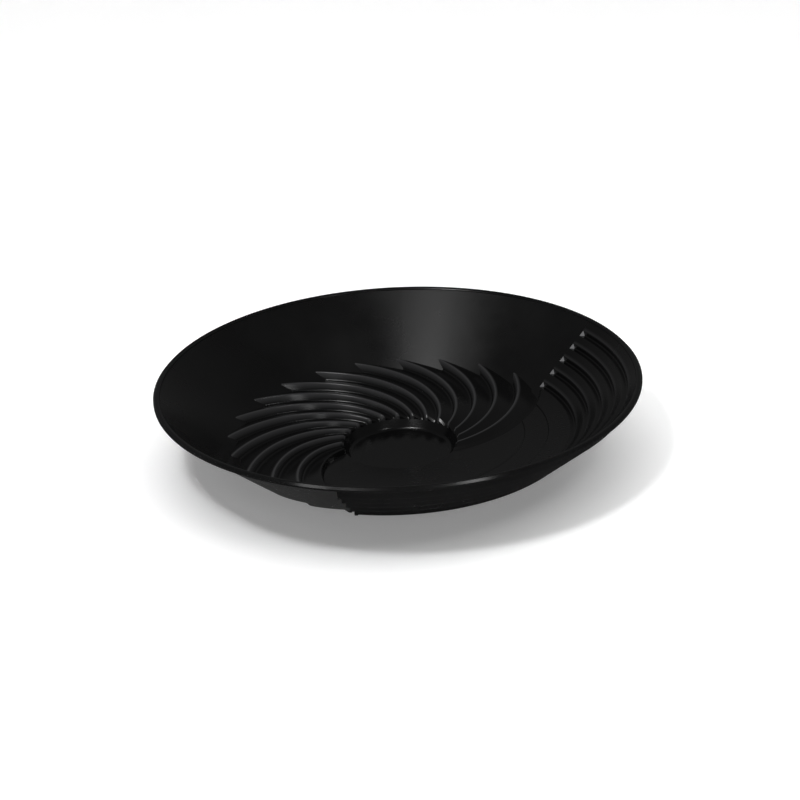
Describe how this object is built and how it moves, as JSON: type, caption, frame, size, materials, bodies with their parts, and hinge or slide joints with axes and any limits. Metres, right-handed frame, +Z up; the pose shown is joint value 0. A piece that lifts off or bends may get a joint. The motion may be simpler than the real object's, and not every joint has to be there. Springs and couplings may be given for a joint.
{
  "type": "gold pan",
  "caption": "Round one-piece moulded gold pan with spiral floor riffles, stepped wall riffles, a plain ramp and a round trap for heavy grains.",
  "frame": {"origin": "centre of the underside of the trap floor, on the surface the pan stands on", "axes": "+Z up through the open mouth; -Y towards the front, where the plain ramp is; +X to the right, where the stepped wall riffles begin"},
  "size_m": [0.33, 0.33, 0.057],
  "materials": {
    "riffle_plastic": "moulded black polypropylene, semi-gloss, edges slightly polished",
    "floor_plastic": "moulded black polypropylene, semi-gloss",
    "coarse_plastic": "moulded black polypropylene, semi-gloss",
    "wall_plastic": "moulded black polypropylene, satin with soft highlights",
    "rim_plastic": "moulded black polypropylene, semi-gloss with small nicks",
    "trap_plastic": "moulded black polypropylene, glossy flat floor"
  },
  "bodies": {
    "root": {"spiral_riffle_01": "riffle_plastic", "spiral_riffle_02": "riffle_plastic", "spiral_riffle_03": "riffle_plastic", "spiral_riffle_04": "riffle_plastic", "spiral_riffle_05": "riffle_plastic", "spiral_riffle_06": "riffle_plastic", "spiral_riffle_07": "riffle_plastic", "spiral_riffle_08": "riffle_plastic", "spiral_riffle_09": "riffle_plastic", "spiral_riffle_10": "riffle_plastic", "spiral_riffle_11": "riffle_plastic", "spiral_riffle_12": "riffle_plastic", "spiral_riffle_13": "riffle_plastic", "spiral_riffle_14": "riffle_plastic", "spiral_riffle_15": "riffle_plastic", "ramp_lower": "floor_plastic", "ramp_middle": "floor_plastic", "ramp_upper": "floor_plastic", "ramp_edge_right": "floor_plastic", "ramp_edge_left": "floor_plastic", "coarse_riffle_1": "coarse_plastic", "coarse_riffle_2": "coarse_plastic", "coarse_riffle_3": "coarse_plastic", "coarse_riffle_4": "coarse_plastic", "coarse_riffle_5": "coarse_plastic", "end_web_right": "coarse_plastic", "end_web_left": "coarse_plastic", "smooth_wall": "wall_plastic", "rim_lip": "rim_plastic", "trap_wall": "trap_plastic", "trap_floor": "trap_plastic"}
  },
  "joints": []
}
